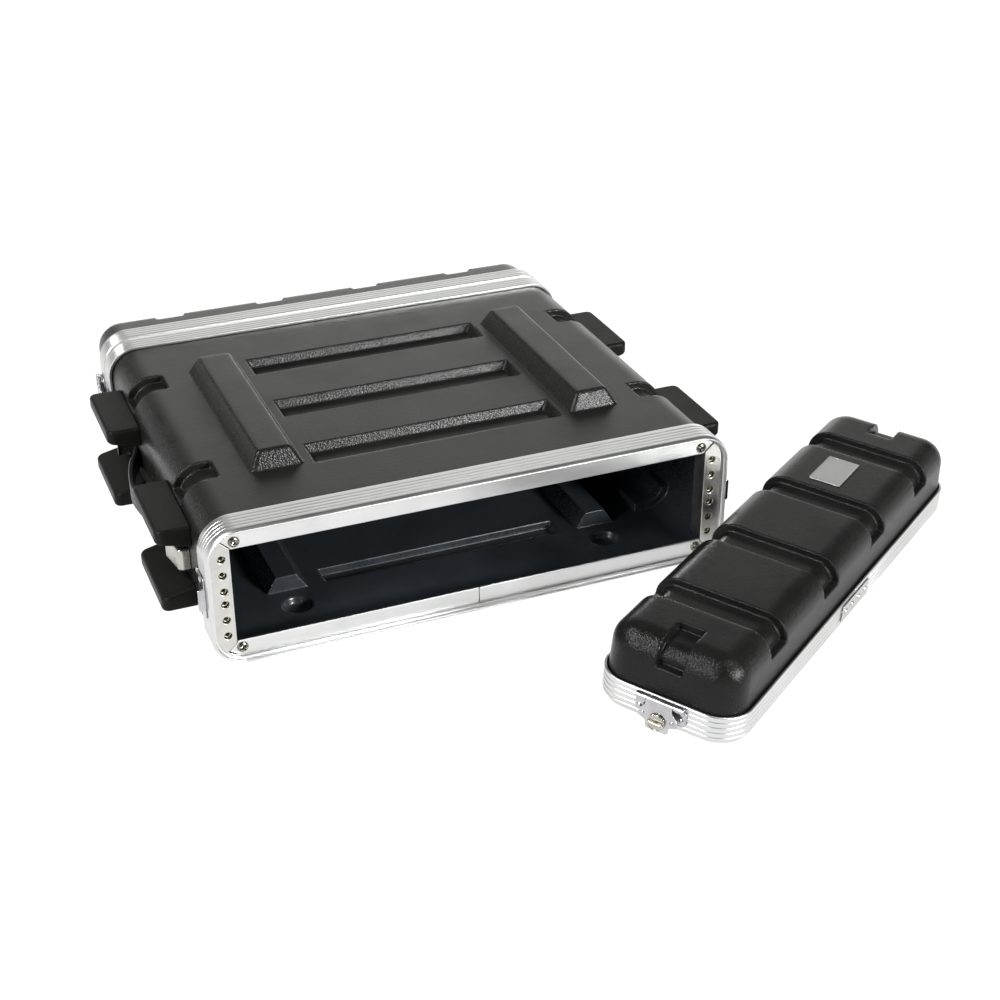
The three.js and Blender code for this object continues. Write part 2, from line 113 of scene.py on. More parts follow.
def leaning_block(x, y, z, half, top, lean, corner, crest):
    """A block that stands on z = 0 with sides leaning in by lean for each millimetre of height."""
    side = (np.abs(x) - half[0] + lean[0] * z) / math.hypot(1, lean[0])
    end = (np.abs(y) - half[1] + lean[1] * z) / math.hypot(1, lean[1])
    return common(common(side, end, corner), z - top, crest)


def slab(x, low, high):
    return np.abs(x - (low + high) / 2) - (high - low) / 2


def cell_size(full):
    return full


# Cells along a block's edge, blocks in a batch, and how many block lengths away is still near.
BLOCK = 8
BATCH = 2000
NEAR = 1.4


def sampled(field, low, high, cell):
    """The field on a grid: worked out near the surface, and filled in block by block elsewhere."""
    low = np.array(low, float)
    blocks = np.ceil((np.array(high, float) - low) / cell / BLOCK).astype(int)
    span = cell * BLOCK
    middles = [low[i] + span * (np.arange(blocks[i]) + 0.5) for i in range(3)]
    coarse = field(*np.meshgrid(*middles, indexing="ij", sparse=True))
    coarse = np.broadcast_to(coarse, tuple(blocks)).astype(np.float32)
    grid = np.repeat(coarse[:, None], BLOCK, 1)
    grid = np.repeat(grid[:, :, :, None], BLOCK, 3)
    grid = np.repeat(grid[..., None], BLOCK, 5).copy()
    near = np.argwhere(np.abs(coarse) < NEAR * span)
    step = cell * np.arange(BLOCK)
    for part in np.array_split(near, len(near) // BATCH + 1):
        x, y, z = (low + part * span).T[:, :, None, None, None]
        value = field(x + step[:, None, None], y + step[:, None], z + step)
        grid[part[:, 0], :, part[:, 1], :, part[:, 2], :] = value
    return grid.reshape(blocks * BLOCK)


def slope(field, points, reach=0.04):
    """The field's gradient at some points."""
    found = np.empty_like(points)
    for axis in range(3):
        step = np.zeros(3)
        step[axis] = reach
        found[:, axis] = (field(*(points + step).T) - field(*(points - step).T)) / (2 * reach)
    return found


# In cells: the free space round a shape's box, and the grid's value far from the shape.
MARGIN = 2.4
FAR = 10.0
SETTLING_STEPS = 4
LEAST_SLOPE = 0.3


def settled(field, points, reach):
    """The points, moved onto the field's zero surface by at most reach in each step."""
    for _ in range(SETTLING_STEPS):
        gradient = slope(field, points)
        steep = np.maximum((gradient ** 2).sum(1), LEAST_SLOPE)
        move = -(field(*points.T) / steep)[:, None] * gradient
        points += np.clip(move, -reach, reach)
    return points


def surface_of(field, low, high, cell, adaptivity=0.02):
    """Points, normals and faces of a field's zero surface. Flat stretches get large faces."""
    low = np.array(low, float) - MARGIN * cell
    high = np.array(high, float) + MARGIN * cell
    grid = openvdb.FloatGrid(FAR * cell)
    grid.copyFromArray(sampled(field, low, high, cell))
    points, triangles, quads = grid.convertToPolygons(isovalue=0.0, adaptivity=adaptivity)
    points = settled(field, low + points.astype(float) * cell, cell)
    normals = slope(field, points)
    normals /= np.maximum(np.linalg.norm(normals, axis=1), 1e-6)[:, None]
    return points, normals, [triangles, quads]


# ---- meshes ----


def weighted_normals(mesh):
    """Each vertex's normal, weighted by its faces' areas so that wide flat faces stay flat, and
    the largest of those areas."""
    count = len(mesh.polygons)
    facing, area, sizes = np.empty(count * 3), np.empty(count), np.empty(count, np.int32)
    mesh.polygons.foreach_get("normal", facing)
    mesh.polygons.foreach_get("area", area)
    mesh.polygons.foreach_get("loop_total", sizes)
    corners = np.empty(len(mesh.loops), np.int32)
    mesh.loops.foreach_get("vertex_index", corners)
    owner = np.repeat(np.arange(count), sizes)
    total = np.zeros((len(mesh.vertices), 3))
    np.add.at(total, corners, (facing.reshape(-1, 3) * area[:, None])[owner])
    largest = np.zeros(len(mesh.vertices))
    np.maximum.at(largest, corners, area[owner])
    return total / np.maximum(np.linalg.norm(total, axis=1), 1e-15)[:, None], largest


def new_object(name, data):
    made = bpy.data.objects.new(name, data)
    bpy.context.scene.collection.objects.link(made)
    return made


def bare_mesh(name, points, faces):
    """A mesh from points in metres. faces holds arrays of triangles, quads and so on."""
    corners = np.concatenate([f.ravel() for f in faces]).astype(np.int32)
    sizes = np.concatenate([np.full(len(f), f.shape[1], np.int32) for f in faces])
    starts = np.concatenate([[0], np.cumsum(sizes)[:-1]]).astype(np.int32)
    mesh = bpy.data.meshes.new(name)
    mesh.vertices.add(len(points))
    mesh.loops.add(len(corners))
    mesh.polygons.add(len(sizes))
    mesh.vertices.foreach_set("co", points.astype(np.float32).ravel())
    mesh.loops.foreach_set("vertex_index", corners)
    mesh.polygons.foreach_set("loop_start", starts)
    mesh.update(calc_edges=True)
    mesh.validate()
    mesh.shade_smooth()
    return mesh


# A point takes its field's own normal if it has no face larger than this, in square metres.
FINE_AREA = 6.0 * MM * MM


def mesh_object(name, points, normals, faces, place, material):
    """An object from points and faces in the local frame that place puts down."""
    spin = np.array(place.to_3x3())
    points = points @ spin.T + np.array(place.translation)
    if np.linalg.det(spin) < 0:
        faces = [f[:, ::-1] for f in faces]
    mesh = bare_mesh(name, points, [f for f in faces if len(f)])
    smooth, largest = weighted_normals(mesh)
    if normals is not None:
        fine = largest < FINE_AREA
        spun = normals @ np.linalg.inv(spin)
        smooth[fine] = spun[fine] / np.linalg.norm(spun[fine], axis=1)[:, None]
    mesh.normals_split_custom_set_from_vertices(smooth)
    mesh.materials.append(material)
    return new_object(name, mesh)


def piece(name, shape, place, material, body, replaces=()):
    """A finished piece: shape is (points, normals, faces) in the frame that place puts down."""
    made = mesh_object(name, *shape, place, material)
    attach(made, body)
    if replaces:
        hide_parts(*replaces)
    return made


# ---- materials ----


def feed(tree, made, inputs):
    """Sets a node's inputs. Each is a value, or another node's output to link."""
    for name, value in inputs.items():
        if isinstance(value, bpy.types.NodeSocket):
            tree.links.new(value, made.inputs[name])
        else:
            made.inputs[name].default_value = value


def node(tree, kind, inputs=None, **settings):
    made = tree.nodes.new(kind)
    for name, value in settings.items():
        setattr(made, name, value)
    feed(tree, made, inputs or {})
    return made


def new_material(name):
    made = bpy.data.materials.new(name)
    made.use_nodes = True
    return made, made.node_tree, made.node_tree.nodes["Principled BSDF"]


def place_of(tree, scale=(1, 1, 1), source="Object"):
    coordinates = node(tree, "ShaderNodeTexCoord").outputs[source]
    return node(tree, "ShaderNodeMapping", {"Vector": coordinates, "Scale": scale}).outputs["Vector"]


def noise(tree, vector, scale, detail=2.0, roughness=0.5):
    made = node(tree, "ShaderNodeTexNoise", {"Vector": vector, "Scale": scale, "Detail": detail,
                                             "Roughness": roughness})
    return made.outputs["Fac"]


def between(tree, factor, low, high, start, stop):
    """A number that runs from low to high as factor runs from start to stop."""
    made = node(tree, "ShaderNodeMapRange", {"Value": factor, "From Min": start, "From Max": stop,
                                             "To Min": low, "To Max": high})
    return made.outputs["Result"]


def tinted(tree, factor, first, second, start, stop):
    """A colour that runs from first to second as factor runs from start to stop."""
    made = node(tree, "ShaderNodeValToRGB", {"Fac": factor})
    ends = made.color_ramp.elements
    ends[0].position, ends[1].position = start, stop
    ends[0].color, ends[1].color = (*first, 1), (*second, 1)
    return made.outputs["Color"]


def summed(tree, first, second, share=1.0):
    """The first number plus a share of the second."""
    made = node(tree, "ShaderNodeMath", {0: second, 1: share, 2: first}, operation="MULTIPLY_ADD")
    return made.outputs["Value"]


def bumped(tree, height, strength, distance):
    made = node(tree, "ShaderNodeBump", {"Height": height, "Strength": strength, "Distance": distance})
    return made.outputs["Normal"]


# The z of a face's normal where the grain starts to fade, and where it has faded.
UPWARD = (0.8, 0.98)


def moulded_plastic(name, first, second, gloss, grain_size, depth, specular=0.5):
    """Plastic with the pebble grain of its mould, uneven in gloss and colour, smoother on top."""
    made, tree, shader = new_material(name)
    place = place_of(tree)
    pebble = node(tree, "ShaderNodeTexVoronoi", {"Vector": place, "Scale": 1 / grain_size},
                  feature="SMOOTH_F1").outputs["Distance"]
    fine = noise(tree, place, 1.7 / grain_size, detail=2)
    broad = noise(tree, place, 22, detail=4, roughness=0.6)
    grain = summed(tree, pebble, fine, -0.8)
    facing = node(tree, "ShaderNodeTexCoord").outputs["Normal"]
    upward = node(tree, "ShaderNodeSeparateXYZ", {"Vector": facing}).outputs["Z"]
    strength = between(tree, upward, 1.0, 0.3, *UPWARD)
    satin = between(tree, upward, 0.0, 0.07, *UPWARD)
    uneven = between(tree, summed(tree, broad, fine, 0.5), gloss - 0.06, gloss + 0.08, 0.5, 1.0)
    tint = tinted(tree, summed(tree, broad, pebble, 0.3), first, second, 0.4, 0.8)
    feed(tree, shader, {"Base Color": tint, "Roughness": summed(tree, uneven, satin),
                        "Normal": bumped(tree, grain, strength, depth),
                        "Specular IOR Level": specular})
    return made


def drawn_metal(name, first, second, gloss, along, streak, depth):
    """Metal with fine lines left along it by the die, and faint clouding."""
    made, tree, shader = new_material(name)
    lines = noise(tree, place_of(tree, streak, along), 1.0, detail=3, roughness=0.6)
    cloud = noise(tree, place_of(tree), 14, detail=5, roughness=0.65)
    speck = noise(tree, place_of(tree), 1400, detail=1)
    tint = tinted(tree, summed(tree, cloud, lines, 0.35), first, second, 0.45, 0.9)
    uneven = between(tree, summed(tree, lines, cloud, 0.8), gloss - 0.07, gloss + 0.09, 0.6, 1.2)
    grain = bumped(tree, summed(tree, lines, speck, 0.3), 0.35, depth)
    feed(tree, shader, {"Base Color": tint, "Roughness": uneven, "Normal": grain, "Metallic": 1.0})
    return made


def plated_metal(name, first, second, gloss, depth=0.00002):
    """Plating, slightly wavy, with specks and a patchy sheen."""
    made, tree, shader = new_material(name)
    place = place_of(tree)
    patch = noise(tree, place, 60, detail=5, roughness=0.6)
    speck = noise(tree, place, 1800, detail=2)
    wave = noise(tree, place, 260, detail=2)
    tint = tinted(tree, summed(tree, patch, speck, 0.3), first, second, 0.45, 0.85)
    uneven = between(tree, summed(tree, patch, speck, 0.4), gloss - 0.05, gloss + 0.1, 0.45, 0.95)
    grain = bumped(tree, summed(tree, wave, speck, 0.2), 0.3, depth)
    feed(tree, shader, {"Base Color": tint, "Roughness": uneven, "Normal": grain, "Metallic": 1.0})
    return made


# Each varies between its two colours. Grain sizes and depths are in metres.
MOULDING = moulded_plastic("moulded_case", (0.006, 0.0062, 0.0058), (0.0098, 0.0098, 0.0093),
                           gloss=0.26, grain_size=0.0017, depth=0.0003, specular=0.2)
INSIDE = moulded_plastic("moulded_inside", (0.017, 0.021, 0.026), (0.024, 0.029, 0.035),
                         gloss=0.27, grain_size=0.004, depth=0.00004)
# The covers' inner faces: a darker copy of the inside moulding, as painted shade for the far end of the
# case's interior, which the rear cover closes.
SHADED_COVER_INSIDE = moulded_plastic("cover_inside_painted_shade", (0.008, 0.010, 0.012), (0.012, 0.014, 0.017),
                               gloss=0.34, grain_size=0.004, depth=0.00004)
COVER_MOULDING = moulded_plastic("moulded_cover", (0.0052, 0.0052, 0.005), (0.009, 0.009, 0.0087),
                                 gloss=0.18, grain_size=0.0015, depth=0.0003, specular=0.13)
BUMPER_PLASTIC = moulded_plastic("bumper", (0.0042, 0.0044, 0.004), (0.0072, 0.0072, 0.0068),
                                 gloss=0.38, grain_size=0.0012, depth=0.00014, specular=0.085)
STRAP_RUBBER = moulded_plastic("strap", (0.006, 0.006, 0.006), (0.010, 0.010, 0.010),
                               gloss=0.34, grain_size=0.0008, depth=0.00006)
ALUMINIUM = drawn_metal("edge_aluminium", (0.56, 0.565, 0.56), (0.64, 0.645, 0.64),
                        gloss=0.33, along="UV", streak=(2, 3200, 2), depth=0.00005)
SHEET_ALUMINIUM = drawn_metal("sheet_aluminium", (0.42, 0.42, 0.41), (0.52, 0.52, 0.51),
                              gloss=0.3, along="Object", streak=(8, 900, 900), depth=0.000005)
BADGE_PLATE = drawn_metal("badge_plate", (0.45, 0.45, 0.445), (0.55, 0.55, 0.545),
                          gloss=0.4, along="Object", streak=(900, 900, 20), depth=0.000008)
RAIL_STEEL = plated_metal("rail_steel", (0.49, 0.48, 0.455), (0.56, 0.55, 0.525), gloss=0.33,
                          depth=0.00001)
BRIGHT = plated_metal("bright_fittings", (0.39, 0.385, 0.40), (0.52, 0.515, 0.53), gloss=0.15)
NICKEL = plated_metal("nickel_fittings", (0.36, 0.35, 0.31), (0.50, 0.485, 0.44), gloss=0.2)
SCREW_STEEL = plated_metal("screw_steel", (0.17, 0.16, 0.135), (0.28, 0.265, 0.23), gloss=0.2)
BRASS = plated_metal("bushes", (0.40, 0.39, 0.27), (0.52, 0.51, 0.37), gloss=0.3)

# ---- case shell ----

# half is half a feature's size at its foot, along x and y. A pair stands at middle +- spread.
WALL = 3.2
SHELL = {"half_x": 244, "half_z": 63.7, "radius": 27.4, "front": 3.8, "rear": 410.2}
TOP = SHELL["half_z"]
CHANNEL = {"half": (121, 18.6), "depth": 9, "lean": (0.6, 0.42), "centres": (109.6, 208, 308.4)}
RIB = {"half": (121.6, 14.2), "depth": 7.5, "lean": (0.43, 0.13), "centres": (99.5, 198, 298.5)}
BAR = {"x": 155.2, "middle": 208.4, "half": (24.5, 116.0), "height": 16.6, "lean": (0.54, 0.44)}
RECESS = {"x": 156, "middle": 208.5, "half": (18, 120.4), "height": 14.5, "lean": (0.66, 0.17)}
FOOT = {"x": 154, "middle": 208.75, "spread": 148.75, "radius": 16.1, "lean": 0.35}
SHOULDER = {"inner": 207, "depth": 8, "lowest": 42, "half": 15.75, "middle": 211.5, "spread": 97.5}
# How deep in the body the features above and below it end.
BAR_ROOT, FLOOR_ROOT = 30, 20
# The rounding of a feature's edges, and of its foot.
INNER_ROUNDING, OUTER_ROUNDING = (0.7, 0.6), (1.9, 1.2)


def grown_block(x, y, z, form, top, grow, corner, crest):
    """A leaning block from a table of dimensions, grown on all sides but its base."""
    half = [size + grow * math.hypot(1, lean) for size, lean in zip(form["half"], form["lean"])]
    return leaning_block(x, y, z, half, top + grow, form["lean"], corner, crest)


def bars(x, y, z, inset, crest):
    """The two long bars on top, with rounder edges than the other features."""
    bar = grown_block(np.abs(x) - BAR["x"], y - BAR["middle"], z - TOP, BAR, BAR["height"], -inset,
                      crest * 1.9, crest * 1.4)
    return np.maximum(bar, TOP - BAR_ROOT - z)


def rib(x, y, z, inset, crest):
    """A rib under the floor, with its middle at y = 0."""
    block = grown_block(x, y, -TOP - z, RIB, RIB["depth"], -inset, crest, crest)
    return np.maximum(block, z + TOP - FLOOR_ROOT)


def feet(x, y, z, inset):
    foot = np.hypot(np.abs(x) - FOOT["x"], np.abs(y - FOOT["middle"]) - FOOT["spread"])
    foot = (foot - FOOT["radius"] + FOOT["lean"] * (-TOP - z)) / math.hypot(1, FOOT["lean"]) + inset
    return np.maximum(common(foot, -TOP - z - RIB["depth"] + inset, 2.5), z + TOP - FLOOR_ROOT)


def shoulder_channels(x, y, z, inset, body):
    """Short channels over the body's long rounded edges."""
    run = np.abs(np.abs(y - SHOULDER["middle"]) - SHOULDER["spread"]) - SHOULDER["half"] - inset
    reach = np.maximum(SHOULDER["inner"] - inset - np.abs(x),
                       SHOULDER["lowest"] - inset - np.abs(z))
    return common(common(run, reach, 2), -(body + SHOULDER["depth"]), 1.6)


def case_skin(x, y, z, inset):
    """The case without its open ends: the outer skin, or the space inside at an inset."""
    crest, foot = INNER_ROUNDING if inset > 0 else OUTER_ROUNDING
    body = rounded_rect(x, z, SHELL["half_x"] - inset, SHELL["half_z"] - inset, SHELL["radius"] - inset)
    skin = joined(body, bars(x, y, z, inset, crest), foot)
    for middle in RIB["centres"]:
        skin = joined(skin, rib(x, y - middle, z, inset, crest), foot)
    skin = joined(skin, feet(x, y, z, inset), 1.6)
    recess = grown_block(np.abs(x) - RECESS["x"], y - RECESS["middle"], z + TOP, RECESS,
                         RECESS["height"], inset, crest, crest)
    skin = carved(skin, recess, foot)
    for middle in CHANNEL["centres"]:
        channel = grown_block(x, y - middle, TOP - z, CHANNEL, CHANNEL["depth"], inset, 1.5, 1.2)
        skin = carved(skin, channel, 0.9)
    return carved(skin, shoulder_channels(x, y, z, inset, body), 1.3)


def case_shell(x, y, z):
    wall = np.maximum(case_skin(x, y, z, 0), -case_skin(x, y, z, WALL))
    return np.maximum(wall, slab(y, SHELL["front"], SHELL["rear"]))


def lined(made, inner_field, place, inside):
    """Gives a shell's inner faces another material, inside."""
    made.data.materials.append(inside)
    centres = np.empty(len(made.data.polygons) * 3)
    made.data.polygons.foreach_get("center", centres)
    back = np.array(place.inverted())
    local = centres.reshape(-1, 3) @ back[:3, :3].T + back[:3, 3]
    inner = (inner_field(*local.T) < WALL / 2).astype(np.int32)
    made.data.polygons.foreach_set("material_index", inner)


def case_mouldings():
    shape = surface_of(case_shell, (-245, 3, -72), (245, 411, 81), cell_size(1.25))
    made = piece("case_shell_moulding", shape, CASE, MOULDING, "case", ["case_shell"])
    lined(made, lambda x, y, z: case_skin(x, y, z, WALL), CASE, INSIDE)


case_mouldings()

# ---- cover shells ----

# GROOVE runs across the crown, at inner and at outer on each side. WELL is sunk for a latch.
COVER = {"height": 69.5, "inset": 2.4, "shoulder": 21, "lean": 0.0505, "seat": 2.3}
GROOVE = {"inner": 54.3, "outer": 163.9, "half": 15.25, "depth": 7.5, "lowest": 47}
WELL = {"half": 12.3, "start": HALF_WIDTH - 43, "depth": 7.5, "lowest": 46}


def cover_skin(x, y, z):
    plan = rounded_rect(x, y, HALF_WIDTH - COVER["inset"], HALF_HEIGHT - COVER["inset"],
                        CORNER - COVER["inset"]) + COVER["lean"] * np.maximum(z, 0)
    crown = common(plan, z - COVER["height"], COVER["shoulder"])
    middle = (GROOVE["inner"] + GROOVE["outer"]) / 2
    spread = (GROOVE["outer"] - GROOVE["inner"]) / 2
    groove = np.abs(np.abs(np.abs(x) - middle) - spread) - GROOVE["half"]
    groove = common(groove, GROOVE["lowest"] - z, 2)
    well = common(np.abs(y) - WELL["half"], WELL["lowest"] - z, 1.5)
    well = common(well, WELL["start"] - np.abs(x), 1.5)
    skin = carved(crown, common(groove, -(crown + GROOVE["depth"]), 2), 1.5)
    return carved(skin, common(well, -(crown + WELL["depth"]), 1.2), 1.0)


def cover_shell(x, y, z):
    wall = np.abs(cover_skin(x, y, z) + WALL / 2) - WALL / 2
    return np.maximum(wall, COVER["seat"] - z)


def cover_mouldings():
    shape = surface_of(cover_shell, (-246, -65, 2), (246, 65, 70), cell_size(1.0))
    for end, place in COVERS.items():
        made = piece(f"{end}_cover_moulding", shape, place, COVER_MOULDING, f"{end}_cover",
                     [f"{end}_cover_shell"])
        lined(made, lambda x, y, z: cover_skin(x, y, z) + WALL, place, SHADED_COVER_INSIDE)


cover_mouldings()

# ---- aluminium edge frames: extrusions swept round an outline ----

# The extrusions' grooves.
FLUTE_WIDTH = 1.5
FLUTE_DEPTH = 0.45
CASE_FLUTES = [3.2, 8.1, 13.1, 18.1]
COVER_FLUTES = [2.5, 7.4, 12.6, 17.6]
# The ends of an extrusion meet at the middle of its low side, this far from x = 0.
BUTT = 0.12
ARC_STEPS = 26


def round_outline():
    """Points, outward normals and distances round the outline, from its low side's middle."""
    stations = [((BUTT, -HALF_HEIGHT), (0, -1))]
    for index, (sx, sy) in enumerate([(1, -1), (1, 1), (-1, 1), (-1, -1)]):
        centre = (sx * (HALF_WIDTH - CORNER), sy * (HALF_HEIGHT - CORNER))
        for step in range(ARC_STEPS + 1):
            angle = math.radians(90 * (index - 1 + step / ARC_STEPS))
            normal = (math.cos(angle), math.sin(angle))
            stations.append(((centre[0] + CORNER * normal[0], centre[1] + CORNER * normal[1]), normal))
    stations.append(((-BUTT, -HALF_HEIGHT), (0, -1)))
    points = np.array([p for p, _ in stations])
    normals = np.array([n for _, n in stations])
    run = np.concatenate([[0], np.cumsum(np.linalg.norm(np.diff(points, axis=0), axis=1))])
    return points, normals, run


def fluted(start, stop, flutes):
    """The outer face of an extrusion: (inset, along) pairs, dipping at each groove."""
    steps = [(-1, 0), (-0.7, 0.25), (-0.35, 0.85), (0, 1), (0.35, 0.85), (0.7, 0.25), (1, 0)]
    line = [(0, start)]
    for middle in sorted(flutes, reverse=start > stop):
        sign = 1 if stop > start else -1
        line += [(dip * FLUTE_DEPTH, middle + sign * step * FLUTE_WIDTH / 2) for step, dip in steps]
    return line + [(0, stop)]


def arc(centre, radius, first, last, steps=5):
    """Points (inset, along) round a centre, from one angle to another in degrees."""
    angles = np.radians(np.linspace(first, last, steps + 1))
    return [(centre[0] + radius * math.cos(a), centre[1] + radius * math.sin(a)) for a in angles]


def tube_faces(rings, count):
    """The sides of a tube, from rings of count points each, and its two ends."""
    rows = np.arange(rings - 1)[:, None] * count
    columns = np.arange(count)
    following = (columns + 1) % count
    sides = np.stack([rows + columns, rows + following, rows + count + following,
                      rows + count + columns], -1).reshape(-1, 4)
    last = (rings - 1) * count
    return [sides, columns[None, ::-1], last + columns[None]]


def swept_ring(profile, upright):
    """Sweeps a closed profile round the frames' outline: points, faces and UVs in metres.
    upright maps (outline x, outline y, along)."""
    points, normals, run = round_outline()
    profile = np.array(profile)
    plane = points[:, None] - normals[:, None] * profile[None, :, 0, None]
    height = np.broadcast_to(profile[:, 1], plane.shape[:2])
    placed = np.stack([plane[..., 0], plane[..., 1], height], -1).reshape(-1, 3) @ np.array(upright).T
    girth = np.concatenate([[0], np.cumsum(np.linalg.norm(np.diff(profile, axis=0), axis=1))])
    uv = np.stack(np.broadcast_arrays(run[:, None], girth[None]), -1).reshape(-1, 2) * MM
    return placed, tube_faces(len(points), len(profile)), uv


# The case frames run along y, and the cover frames along z.
Y_UP = [[1, 0, 0], [0, 0, 1], [0, 1, 0]]
Z_UP = [[1, 0, 0], [0, 1, 0], [0, 0, 1]]
VALANCE_COVER = 22.6


def case_frame_profile(end):
    """The nose is rounded, with a narrow flat rim in front, and a ledge inside holds the flange."""
    nose = [(0.25, -2.9), (0.75, -4.2), (1.35, -5.3), (1.75, -5.9), (1.95, -6), (2.55, -6),
            (2.75, -5.85)]
    outer = fluted(end - 0.4, -1.6, CASE_FLUTES)
    tail = [(SKIN - 0.3, end), (0.4, end), (0.12, end - 0.12)]
    ledge = [(SKIN, -5.6), (SKIN, -2.2), (3.1, -1.3), (3.9, -1.0), (4.75, -0.95), (4.9, -0.8),
             (4.9, -0.12), (SKIN, -0.1)]
    inner = ledge + [(SKIN, end - 0.3)]
    return (outer + nose + inner + tail)[::-1]


def cover_frame_profile():
    """A wall round the cover's foot, a web under it, and a tongue that enters the case frame."""
    inner_face = COVER["inset"] - GAP
    top = VALANCE_COVER
    outer = fluted(0.5, top - 1.5, COVER_FLUTES)
    upper = arc((1.4, top - 1.4), 1.4, 180, 90, 4) + [(inner_face - 0.3, top), (inner_face, top - 0.3)]
    web = COVER["seat"] - GAP
    lower = [(inner_face, web), (6, web), (6, -4.7), (5.7, -5), (3.7, -5), (3.4, -4.7), (3.4, 0),
             (0.5, 0), (0.15, 0.12)]
    return (outer + upper + lower)[::-1]


def uv_mapped(made, coordinates):
    layer = made.data.uv_layers.new(name="UVMap")
    corners = np.empty(len(made.data.loops), np.int32)
    made.data.loops.foreach_get("vertex_index", corners)
    layer.data.foreach_set("uv", coordinates[corners].astype(np.float32).ravel())


# The rails, the flange and its screws share these. JOINT is the gap at the flange's butt joint.
RAIL_INNER, RAIL_OUTER, RAIL_END, RAIL_TIP = 225.2, 243.2, 47.2, 55.5
OPENING_HEIGHT = 45.8
SCREW_X, SCREW_Z = 220.6, 52.6
FLANGE_FACE, FLANGE_BACK = 0.9, 3.4
JOINT = 0.5
# The corner slit's radius, half width, middle in degrees, and how fast it narrows.
SLIT_RADIUS, SLIT_HALF, SLIT_ANGLE, SLIT_TAPER = 24.0, 0.75, -122, 7


def rail_face(x, z, grow=0.0):
    """The rail's face: a strip with mitred ends."""
    middle, half = (RAIL_INNER + RAIL_OUTER) / 2, (RAIL_OUTER - RAIL_INNER) / 2
    off = np.abs(x - middle)
    pitch = (RAIL_TIP - RAIL_END) / half
    tip = (np.abs(z) - RAIL_TIP + off * pitch) / math.hypot(1, pitch)
    return np.maximum(off - half, tip) - grow


def flange(x, y, z):
    plate = rounded_rect(x, z, HALF_WIDTH - SKIN + 0.4, HALF_HEIGHT - SKIN + 0.4, CORNER - SKIN + 0.4)
    opening = np.maximum(np.abs(x) - RAIL_INNER, np.abs(z) - OPENING_HEIGHT)
    plate = np.maximum(plate, -opening)
    inward = np.abs(x) < (RAIL_INNER + RAIL_OUTER) / 2
    plate = np.maximum(plate, -rail_face(np.abs(x), z, np.where(inward, 0.55, -0.1)))
    holes = np.hypot(np.abs(x) - SCREW_X, np.abs(z) - SCREW_Z) - 2.2
    plate = np.maximum(np.maximum(plate, -holes), -corner_slit(x, z))
    plate = np.maximum(plate, -np.maximum(np.abs(x) - JOINT / 2, z))
    return common(plate, slab(y, FLANGE_FACE, FLANGE_BACK), 0.35)


def corner_slit(x, z):
    """A crescent of shadow where the flange has sprung from the frame at the lower left corner."""
    from_centre = np.hypot(x + HALF_WIDTH - CORNER, z + HALF_HEIGHT - CORNER)
    along = np.arctan2(z + HALF_HEIGHT - CORNER, x + HALF_WIDTH - CORNER) - math.radians(SLIT_ANGLE)
    return np.abs(from_centre - SLIT_RADIUS) - SLIT_HALF + SLIT_TAPER * along ** 2


def case_frame(end, place, back, flange_shape):
    """One case frame: its extrusion and the flange in it, as one piece."""
    points, faces, uv = swept_ring(case_frame_profile(back), Y_UP)
    plate_points, _, plate_faces = flange_shape
    faces += [f + len(points) for f in plate_faces]
    points = np.concatenate([points, plate_points])
    made = piece(f"{end}_frame_extrusion", (points, None, faces), place, ALUMINIUM, "case",
                 [f"{end}_frame"])
    uv_mapped(made, np.concatenate([uv, plate_points[:, [0, 2]] * MM]))


TO_REAR = Matrix.Translation((0, FRONT_RIM + REAR_RIM, 0)) @ Matrix.Diagonal((1, -1, 1, 1))
ENDS = {"front": CASE, "rear": CASE @ TO_REAR}


def case_frames():
    flange_shape = surface_of(flange, (-246, 0.5, -65), (246, 3.8, 65), cell_size(0.5), 0.01)
    rear_back = FRONT_RIM + REAR_RIM - (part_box("rear_frame")[0].y - rail_face_y) / MM
    for end, back in (("front", VALANCE + FRONT_RIM), ("rear", rear_back)):
        case_frame(end, ENDS[end], back, flange_shape)


case_frames()


def cover_frames():
    points, faces, uv = swept_ring(cover_frame_profile(), Z_UP)
    for end, place in COVERS.items():
        made = piece(f"{end}_cover_extrusion", (points, None, faces), place, ALUMINIUM,
                     f"{end}_cover", [f"{end}_cover_frame"])
        uv_mapped(made, uv)


cover_frames()

# ---- rack rails and their screws ----

HOLE_X = 232.55
HOLE_HEIGHTS = (6.35, 22.225, 38.1)
RAIL = {"metal": 2, "depth": 20, "hole": 3.5}
BUSH = {"outer": 3.05, "bore": 1.95, "front": 2.6, "back": 9, "pitch": 0.8}
SCREW = {"head": 5.3, "dome": 7.4, "dome_centre": 5.2, "arm": 1.0, "reach": 3.4, "shank": 1.9,
         "length": 7.5, "pitch": 1.1}
THREAD = 0.2


def nearest_hole(x, z):
    return np.hypot(x - HOLE_X, np.minimum.reduce([np.abs(np.abs(z) - h) for h in HOLE_HEIGHTS]))


def zigzag(y, pitch):
    """A thread's outline: from 0 to 1 and back in each pitch."""
    return np.abs(((y / pitch) % 1) * 2 - 1)


def rail(x, y, z):
    face = common(rail_face(x, z), slab(y, 0, RAIL["metal"]), 0.4)
    web = common(slab(x, RAIL_INNER, RAIL_INNER + RAIL["metal"]), slab(y, 0, RAIL["depth"]), 0.9)
    web = common(web, np.abs(z) - OPENING_HEIGHT + 1, 0.5)
    whole = joined(face, web, 0.6)
    return carved(whole, nearest_hole(x, z) - RAIL["hole"], 0.45)


def rail_bushes(x, y, z):
    """Threaded bushes behind the rail's holes."""
    across = nearest_hole(x, z)
    thread = THREAD * zigzag(y, BUSH["pitch"])
    bush = common(across - BUSH["outer"], slab(y, BUSH["front"], BUSH["back"]), 0.35)
    return carved(bush, across - BUSH["bore"] - thread, 0.3)


